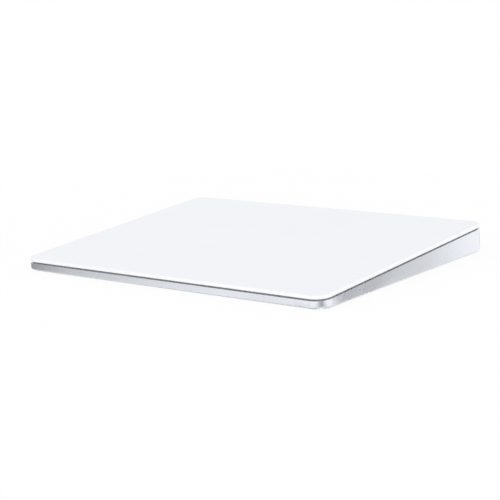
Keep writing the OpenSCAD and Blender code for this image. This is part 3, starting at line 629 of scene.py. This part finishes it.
def studio_floor():
    material = bpy.data.materials.new("pale_floor")
    material.use_nodes = True
    tree = material.node_tree
    tree.nodes.clear()
    away = from_outline(tree, tree.nodes.new("ShaderNodeTexCoord").outputs["Object"])
    near = map_range(tree, away, *CONTACT_RISE, CONTACT_WHITE, FLOOR_WHITE)
    far = map_range(tree, away, *FAR_RISE, 0.0, FAR_WHITE)
    white = math_node(tree, "MULTIPLY", seen(tree), math_node(tree, "MAXIMUM", near, far))
    paper = tree.nodes.new("ShaderNodeBsdfDiffuse")
    paper.inputs["Color"].default_value = (0.95, 0.95, 0.955, 1.0)
    glow = tree.nodes.new("ShaderNodeEmission")
    glow.inputs["Color"].default_value = WHITE
    glow.inputs["Strength"].default_value = 1.0
    above = mixed(tree, white, paper.outputs[0], glow.outputs[0])
    clear = tree.nodes.new("ShaderNodeBsdfTransparent").outputs[0]
    below = tree.nodes.new("ShaderNodeNewGeometry").outputs["Backfacing"]
    out = tree.nodes.new("ShaderNodeOutputMaterial")
    link(tree, mixed(tree, below, above, clear), out.inputs["Surface"])
    points = [(sx * x, sy * y, 0) for x, y in ((6.0, 6.0), (OPEN_X, OPEN_Y))
              for sx, sy in ((-1, -1), (1, -1), (1, 1), (-1, 1))]
    new_card("studio_floor", points, [(i, (i + 1) % 4, 4 + (i + 1) % 4, 4 + i) for i in range(4)], material)


def softbox(name, place, aim, width, height, level):
    """Area lamp whose face is level times as bright as white."""
    data = bpy.data.lights.new(name, "AREA")
    data.shape = "RECTANGLE"
    data.size, data.size_y = width, height
    data.energy = level * math.pi * width * height
    lamp = bpy.data.objects.new(name, data)
    lamp.location = place
    lamp.rotation_euler = (Vector(aim) - Vector(place)).to_track_quat("-Z", "Y").to_euler()
    lamp.visible_camera = False
    bpy.context.scene.collection.objects.link(lamp)


def studio_world(below):
    """White all round, with light of a lower level from below the floor."""
    world = bpy.data.worlds.new("studio")
    bpy.context.scene.world = world
    world.use_nodes = True
    tree = world.node_tree
    tree.nodes.clear()
    direction = tree.nodes.new("ShaderNodeSeparateXYZ")
    link(tree, tree.nodes.new("ShaderNodeTexCoord").outputs["Generated"], direction.inputs[0])
    level = map_range(tree, direction.outputs["Z"], -0.01, 0.0, below, 1.0)
    camera = tree.nodes.new("ShaderNodeLightPath").outputs["Is Camera Ray"]
    shade = tree.nodes.new("ShaderNodeBackground")
    shade.inputs["Color"].default_value = WHITE
    link(tree, math_node(tree, "MAXIMUM", camera, level), shade.inputs["Strength"])
    out = tree.nodes.new("ShaderNodeOutputWorld")
    link(tree, shade.outputs[0], out.inputs["Surface"])


def flag(name, lift, x, y, length, width, turn, depth):
    """Soft-edged dark gauze just over the floor, seen only in mirroring surfaces."""
    material = bpy.data.materials.new(name)
    material.use_nodes = True
    tree = material.node_tree
    tree.nodes.clear()
    away = vector_node(tree, "LENGTH", tree.nodes.new("ShaderNodeTexCoord").outputs["Object"])
    beside = from_outline(tree, tree.nodes.new("ShaderNodeNewGeometry").outputs["Position"])
    held = math_node(
        tree, "MULTIPLY", map_range(tree, away, 0.0, 1.0, depth, 0.0), math_node(tree, "GREATER_THAN", beside, 0.0))
    gauze = tree.nodes.new("ShaderNodeBsdfTransparent")
    link(tree, math_node(tree, "SUBTRACT", 1.0, held), gauze.inputs["Color"])
    out = tree.nodes.new("ShaderNodeOutputMaterial")
    link(tree, gauze.outputs[0], out.inputs["Surface"])
    card = new_card(name, [(-1, -1, 0), (1, -1, 0), (1, 1, 0), (-1, 1, 0)], [(0, 1, 2, 3)], material)
    card.location = (x * MM, y * MM, lift * MM)
    card.rotation_euler = (0, 0, math.radians(turn))
    card.scale = (length * MM, width * MM, 1)
    card.visible_camera = card.visible_diffuse = card.visible_transmission = card.visible_shadow = False


# Each flag's lift over the floor, centre, half length and half width in millimetres, its turn in degrees,
# and the share of light that it holds back in its middle
FLAGS = (
    ("left_flag", 0.10, -57.5, -24.5, 152.5, 21.5, 53.5, 0.44),
    ("front_flag", 0.15, -154, -62, 249, 54.5, -2, 0.63),
    ("corner_flag", 0.20, 86.3, -62.5, 14.5, 9.5, -35.5, 1.0),
    ("right_flag", 0.25, 88.5, -18.5, 64.5, 12.5, 64, 0.39),
    ("near_right_flag", 0.30, 119, 2, 98, 8, 50, 0.75),
    ("far_right_flag", 0.35, 99, 23.5, 31, 151, 150, 0.33),
    ("rear_flag", 0.40, -30, 90, 105, 70, 0, 0.35),
    ("left_side_flag", 0.45, -110, 25, 60, 80, 0, 0.35),
    ("rear_corner_flag", 0.50, 66, 80, 30, 18, 110, 0.5),
)
WORLD_BELOW = 0.7

studio_floor()
studio_world(WORLD_BELOW)
softbox("camera_side", place=(0.64, -0.77, 0.16), aim=(0, 0, 0), width=0.9, height=0.3, level=1.0)
for row in FLAGS:
    flag(*row)


# Camera

def aim_camera():
    """The photograph's view, with the focal length in pixels of a 500 pixel frame."""
    azimuth, elevation, roll = (math.radians(v) for v in (40.028, 12.012, -3.442))
    distance, focal = 0.662227, 1551.04
    aside, above = -1.294 * MM, 3.655 * MM
    flat = math.cos(elevation)
    back = Vector((math.sin(azimuth) * flat, -math.cos(azimuth) * flat, math.sin(elevation)))
    level = Vector((math.cos(azimuth), math.sin(azimuth), 0.0))
    upright = back.cross(level)
    right = math.cos(roll) * level + math.sin(roll) * upright
    up = math.cos(roll) * upright - math.sin(roll) * level
    eye = right * aside + up * above + back * distance + Vector((0, 0, FOOT_H))
    data = bpy.data.cameras.new("photograph_view")
    data.sensor_width = 36.0
    data.lens = focal / 500 * data.sensor_width
    data.clip_start, data.clip_end = 0.01, 50.0
    camera = bpy.data.objects.new("photograph_view", data)
    rows = [(right[i], up[i], back[i], eye[i]) for i in range(3)]
    camera.matrix_world = Matrix((*rows, (0, 0, 0, 1)))
    bpy.context.scene.collection.objects.link(camera)
    bpy.context.scene.camera = camera


aim_camera()
bpy.context.scene.view_settings.view_transform = "Standard"
